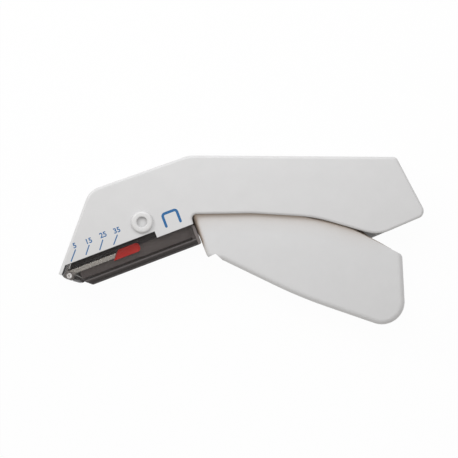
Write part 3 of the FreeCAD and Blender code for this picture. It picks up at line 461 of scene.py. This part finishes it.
# Metals
SHEET = metal("sheet_steel", (0.56, 0.55, 0.54), (0.70, 0.69, 0.68), 0.26, NOSE_ANGLE, edge=0.00006)
PLATE = metal("plate_steel", (0.22, 0.20, 0.19), (0.36, 0.33, 0.31), 0.34, NOSE_ANGLE, edge=0.00006)
DARK = metal("dark_steel", (0.110, 0.096, 0.092), (0.190, 0.168, 0.162), 0.36, MAGAZINE_ANGLE,
             edge=0.00010)
SPRING = metal("spring_steel", (0.50, 0.49, 0.47), (0.66, 0.65, 0.63), 0.22)
WIRE = metal("staple_wire", (0.70, 0.66, 0.61), (0.93, 0.89, 0.83), 0.26)
PIN = metal("pin_steel", (0.50, 0.48, 0.47), (0.64, 0.62, 0.60), 0.22, edge=0.00012)


def ink(name, first, second):
    """Pad-printed ink, a little broken where the plastic's grain shows through."""
    shader = Shader(name)
    shader.colour(shader.noise(2600, 4.0, 0.7), first, second)
    shader.roughness(shader.noise(1900, 3.0), 0.42, 0.58)
    shader.relief([(shader.noise(4200, 2.0), 0.000003)])
    return shader.material


BLUE = ink("blue_ink", (0.006, 0.105, 0.285), (0.016, 0.140, 0.350))

NODE_MATERIALS = {
    "housing_near": HOUSING,
    "housing_far": HOUSING,
    "pivot_pin": BOSS,
    "pin_cap": BOSS,
    "trigger": TRIGGER,
    "driver_carrier": CARRIER,
    "driver_blade": SHEET,
    "driver_rivet_near": PIN,
    "driver_rivet_far": PIN,
    "guide_plate": PLATE,
    "nose_pin_near": PIN,
    "nose_pin_far": PIN,
    "magazine_body": SMOKED,
    "magazine_cover": SMOKED_COVER,
    "magazine_lid": BLACK,
    "rear_cap": SMOKED_CAP,
    "anvil_rail": DARK,
    "ejector_leaf": SPRING,
    "follower": RED,
    "guide_rod": SPRING,
    "staple_stack": WIRE,
    "follower_spring": SPRING,
    "return_spring": SPRING,
}
for node, material in NODE_MATERIALS.items():
    mesh = frame["nodes"][node].data
    mesh.materials.clear()
    mesh.materials.append(material)


def paint_magazine_shade():
    """Only the near wall of the magazine is thin and clear. Its edges and far side get a darker, nearly
    opaque copy of the smoked plastic, as painted shade behind the near wall.
    """
    mesh = frame["nodes"]["magazine_body"].data
    mesh.materials.append(SMOKED_WITH_PAINTED_SHADE)
    for face in mesh.polygons:
        on_near_wall = abs(face.normal.z) > 0.9 and face.center.z > (MID_Z + CROWN_HALF) * MM
        face.material_index = 0 if on_near_wall else 1


paint_magazine_shade()


# Pieces


def staple_group(first, last):
    """Open staples in round wire, with bent shoulders and cut tips, as one piece."""
    bm = bmesh.new()
    for index in range(first, last + 1):
        crown = along(FIRST_STAPLE + index * STAPLE_PITCH, CROWN_DEPTH)
        half = UP * CROWN_HALF
        leg = NOSE_DOWN * STAPLE_LEG
        corners = [crown - half + leg, crown - half, crown + half, crown + half + leg]
        path = rounded(corners, STAPLE_BEND, BEND_STEPS)
        tip = NOSE_DOWN * STAPLE_TIP
        path = [path[0], path[0] - tip] + path[1:-1] + [path[-1] - tip, path[-1]]
        tube(bm, path, STAPLE_WIRE, WIRE_SIDES, STAPLE_TIP_SHARE)
    name = f"staples_{first + 1}_to_{last + 1}"
    piece = link(name, new_mesh(name, bm), WIRE)
    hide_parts("staple_stack")
    return piece


def staples():
    """The row, in groups: its first staple rides on the body, its last on the follower, and the groups
    between stay in place.
    """
    final = STAPLE_COUNT - 1
    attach(staple_group(0, 0), "body")
    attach(staple_group(final, final), "follower")
    for first, last in STAPLE_GROUPS:
        piece = staple_group(first, last)
        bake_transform(piece)


def push_spring():
    """Compression spring on the rod, closed at both ends."""
    wire = 2 * PUSH_WIRE
    closed = PUSH_CLOSED_TURNS
    open_turns = PUSH_TURNS - 2 * closed
    open_pitch = (PUSH_REAR - PUSH_FRONT - 2 * closed * wire) / open_turns
    path = []
    for index in range(PUSH_TURNS * PUSH_STEPS + 1):
        turn = index / PUSH_STEPS
        back = min(turn, closed) * wire
        back += min(max(turn - closed, 0), open_turns) * open_pitch
        back += max(turn - PUSH_TURNS + closed, 0) * wire
        angle = 2 * math.pi * turn
        depth = PUSH_DEPTH + PUSH_RADIUS * math.cos(angle)
        path.append(along(PUSH_FRONT + back, depth, MID_Z + PUSH_RADIUS * math.sin(angle)))
    bm = bmesh.new()
    tube(bm, path, PUSH_WIRE, WIRE_SIDES)
    piece = link("push_spring", new_mesh("push_spring", bm), SPRING)
    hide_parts("follower_spring")
    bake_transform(piece)


def return_spring():
    """Torsion spring on the trigger's hub with its two straight legs."""
    def toward(angle):
        return Vector((math.cos(math.radians(angle)), math.sin(math.radians(angle)), 0))

    def on_coil(angle, height):
        return PIVOT + toward(angle) * COIL_RADIUS + UP * height

    steps = round(COIL_TURNS * COIL_STEPS)
    start = on_coil(COIL_START, COIL_LOW)
    path = [start + toward(COIL_START - 90) * UPPER_LEG * share for share in (1, 0.5)]
    for index in range(steps + 1):
        share = index / steps
        height = COIL_LOW + COIL_TURNS * COIL_PITCH * share
        path.append(on_coil(COIL_START + 360 * COIL_TURNS * share, height))
    last_angle = COIL_START + 360 * COIL_TURNS + 90
    path += [path[-1] + toward(last_angle) * LOWER_LEG * share for share in (0.5, 1)]
    bm = bmesh.new()
    tube(bm, path, COIL_WIRE, COIL_SIDES)
    piece = link("trigger_spring", new_mesh("trigger_spring", bm), SPRING)
    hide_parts("return_spring")
    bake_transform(piece)


def stroke(bm, path, width):
    """Flat printed line with rounded ends along a plan path, in the ink's thickness."""
    rim = []
    half = width / 2
    for points in (path, path[::-1]):
        for index, point in enumerate(points):
            direction = heading(points, index)
            side = Vector((direction.y, -direction.x, 0))
            rim.append(point + side * half)
        for step in (1, 2, 3):
            angle = math.radians(45 * step)
            rim.append(points[-1] + (side * math.cos(angle) + direction * math.sin(angle)) * half)
    low = [bm.verts.new((point + UP * (NEAR_FACE + INK_LOW)) * MM) for point in rim]
    high = [bm.verts.new((point + UP * (NEAR_FACE + INK_HIGH)) * MM) for point in rim]
    bm.faces.new(high)
    bm.faces.new(low[::-1])
    bridge(bm, low, high)


def scale_ticks():
    """The four printed lines that count the staples left."""
    bm = bmesh.new()
    for low, high in TICKS:
        stroke(bm, [PIVOT + Vector((*low, 0)), PIVOT + Vector((*high, 0))], TICK_WIDTH)
    piece = link("scale_ticks", new_mesh("scale_ticks", bm), BLUE, smooth=False)
    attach(piece, "body")


def scale_numbers():
    """Plain counting numbers beside the scale, along the magazine."""
    for text, place in DIGITS:
        curve = bpy.data.curves.new("number_" + text, "FONT")
        curve.body = text
        curve.size = DIGIT_SIZE * MM
        curve.align_x = "CENTER"
        curve.align_y = "CENTER"
        curve.offset = DIGIT_SWELL * MM
        curve.extrude = (INK_HIGH - INK_LOW) / 2 * MM
        lettering = bpy.data.objects.new("number_curve_" + text, curve)
        bpy.context.scene.collection.objects.link(lettering)
        bpy.context.view_layer.update()
        settled = lettering.evaluated_get(bpy.context.evaluated_depsgraph_get())
        mesh = bpy.data.meshes.new_from_object(settled)
        bpy.data.objects.remove(lettering)
        middle = (PIVOT + Vector((*place, NEAR_FACE + (INK_LOW + INK_HIGH) / 2))) * MM
        mesh.transform(Matrix.Translation(middle) @ Matrix.Rotation(MAGAZINE_ANGLE, 4, "Z"))
        mesh.materials.clear()
        piece = link("scale_number_" + text, mesh, BLUE, smooth=False)
        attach(piece, "body")


def pictogram():
    """Plain printed sign of an open staple above the magazine."""
    turn = Matrix.Rotation(MAGAZINE_ANGLE, 3, "Z")
    low = -SIGN_HEIGHT / 2
    high = SIGN_HEIGHT / 2
    corners = [Vector(point) for point in ((-SIGN_HALF, low, 0), (-SIGN_HALF, high, 0),
                                           (SIGN_HALF, high, 0), (SIGN_HALF, low, 0))]
    bent = rounded(corners, SIGN_STROKE, BEND_STEPS)
    path = [PIVOT + SIGN_PLACE + turn @ point for point in bent]
    bm = bmesh.new()
    stroke(bm, path, SIGN_STROKE)
    piece = link("staple_sign", new_mesh("staple_sign", bm), BLUE, smooth=False)
    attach(piece, "body")


def trigger_lips():
    """Thin lips that carry the trigger's two faces up to its upper edge."""
    line = [PIVOT + Vector((*point, 0)) for point in LIP_LINE]
    bm = bmesh.new()
    for side in (1, -1):
        rings = []
        for index, point in enumerate(line):
            direction = heading(line, index)
            inward = Vector((direction.y, -direction.x, 0))
            ring = []
            for inset, drop in LIP_PROFILE:
                height = MID_Z + side * (LIP_TOP - drop - MID_Z)
                ring.append(bm.verts.new((point + inward * inset + UP * height) * MM))
            rings.append(ring)
        for low, high in zip(rings, rings[1:]):
            bridge(bm, low, high)
        bm.faces.new(rings[0])
        bm.faces.new(rings[-1][::-1])
    piece = link("trigger_lips", new_mesh("trigger_lips", bm), TRIGGER)
    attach(piece, "trigger")


def far_tabs():
    """Small rounded plates of the far shell, seen between the magazine, trigger and housing, in a dark
    brown copy of the housing's white that paints the shade deep in these gaps.
    """
    bm = bmesh.new()
    for outline in TABS:
        high, low = ([bm.verts.new((PIVOT + Vector((*point, height))) * MM) for point in outline]
                     for height in (TAB_HIGH, TAB_LOW))
        bm.faces.new(high)
        bm.faces.new(low[::-1])
        bridge(bm, low, high)
    bmesh.ops.recalc_face_normals(bm, faces=bm.faces)
    bmesh.ops.bevel(bm, geom=bm.edges[:], offset=TAB_ROUND * MM, segments=TAB_ROUND_STEPS,
                    affect="EDGES", profile=0.5)
    piece = link("far_tabs", new_mesh("far_tabs", bm), HOUSING_IN_PAINTED_SHADE)
    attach(piece, "body")


staples()
push_spring()
return_spring()
trigger_lips()
far_tabs()
scale_ticks()
scale_numbers()
pictogram()


# Floor, light and camera


def seen(tree):
    """One for what the camera, a mirror or clear plastic sees, and zero for the light it gives."""
    path = tree.nodes.new("ShaderNodeLightPath")
    total = path.outputs["Is Camera Ray"]
    for name in ("Is Glossy Ray", "Is Transmission Ray"):
        add = tree.nodes.new("ShaderNodeMath")
        add.operation = "ADD"
        add.use_clamp = True
        tree.links.new(total, add.inputs[0])
        tree.links.new(path.outputs[name], add.inputs[1])
        total = add.outputs["Value"]
    return total


def show(tree, lit, shown, output):
    """One shader gives the light, and the other is what is seen."""
    mix = tree.nodes.new("ShaderNodeMixShader")
    out = tree.nodes.new(output)
    tree.links.new(seen(tree), mix.inputs["Fac"])
    tree.links.new(lit, mix.inputs[1])
    tree.links.new(shown, mix.inputs[2])
    tree.links.new(mix.outputs["Shader"], out.inputs["Surface"])


def floor():
    """A white floor that keeps the shadow: nearly all its light to the camera is its own."""
    bm = bmesh.new()
    bmesh.ops.create_grid(bm, x_segments=4, y_segments=4, size=FLOOR_HALF)
    plane = bpy.data.objects.new("floor", new_mesh("floor", bm))
    bpy.context.scene.collection.objects.link(plane)
    material = bpy.data.materials.new("floor_white")
    material.use_nodes = True
    tree = material.node_tree
    tree.nodes.clear()
    diffuse = tree.nodes.new("ShaderNodeBsdfDiffuse")
    diffuse.inputs["Color"].default_value = FLOOR_GREY
    white = tree.nodes.new("ShaderNodeEmission")
    white.inputs["Color"].default_value = WHITE
    white.inputs["Strength"].default_value = 1.0
    pale = tree.nodes.new("ShaderNodeMixShader")
    pale.inputs["Fac"].default_value = FLOOR_WHITE_SHARE
    tree.links.new(diffuse.outputs["BSDF"], pale.inputs[1])
    tree.links.new(white.outputs["Emission"], pale.inputs[2])
    show(tree, diffuse.outputs["BSDF"], pale.outputs["Shader"], "ShaderNodeOutputMaterial")
    plane.data.materials.append(material)


def world():
    """Soft, slightly warm light from all round, which the camera sees as plain white."""
    scene = bpy.context.scene
    scene.world = bpy.data.worlds.new("studio")
    scene.world.use_nodes = True
    tree = scene.world.node_tree
    tree.nodes.clear()
    soft = tree.nodes.new("ShaderNodeBackground")
    soft.inputs["Color"].default_value = SOFT_LIGHT
    soft.inputs["Strength"].default_value = SOFT_STRENGTH
    white = tree.nodes.new("ShaderNodeBackground")
    white.inputs["Color"].default_value = WHITE
    white.inputs["Strength"].default_value = 1.0
    show(tree, soft.outputs["Background"], white.outputs["Background"], "ShaderNodeOutputWorld")


def lamp(name, place, size, power, colour):
    """A round lamp that points at the middle of the object."""
    light = bpy.data.lights.new(name, "AREA")
    light.shape = "DISK"
    light.size = size
    light.energy = power
    light.color = colour
    thing = bpy.data.objects.new(name, light)
    thing.location = place
    thing.rotation_euler = (LAMP_AIM - Vector(place)).to_track_quat("-Z", "Y").to_euler()
    bpy.context.scene.collection.objects.link(thing)


def camera():
    """A long lens straight above."""
    view = bpy.data.cameras.new("camera")
    view.lens = CAMERA_LENS
    view.sensor_width = SENSOR_WIDTH
    view.clip_start = 0.01
    thing = bpy.data.objects.new("camera", view)
    thing.location = (PIVOT + CAMERA_PLACE) * MM
    bpy.context.scene.collection.objects.link(thing)
    bpy.context.scene.camera = thing


floor()
world()
for lamp_values in LAMPS:
    lamp(*lamp_values)
camera()
bpy.context.scene.view_settings.view_transform = "Standard"
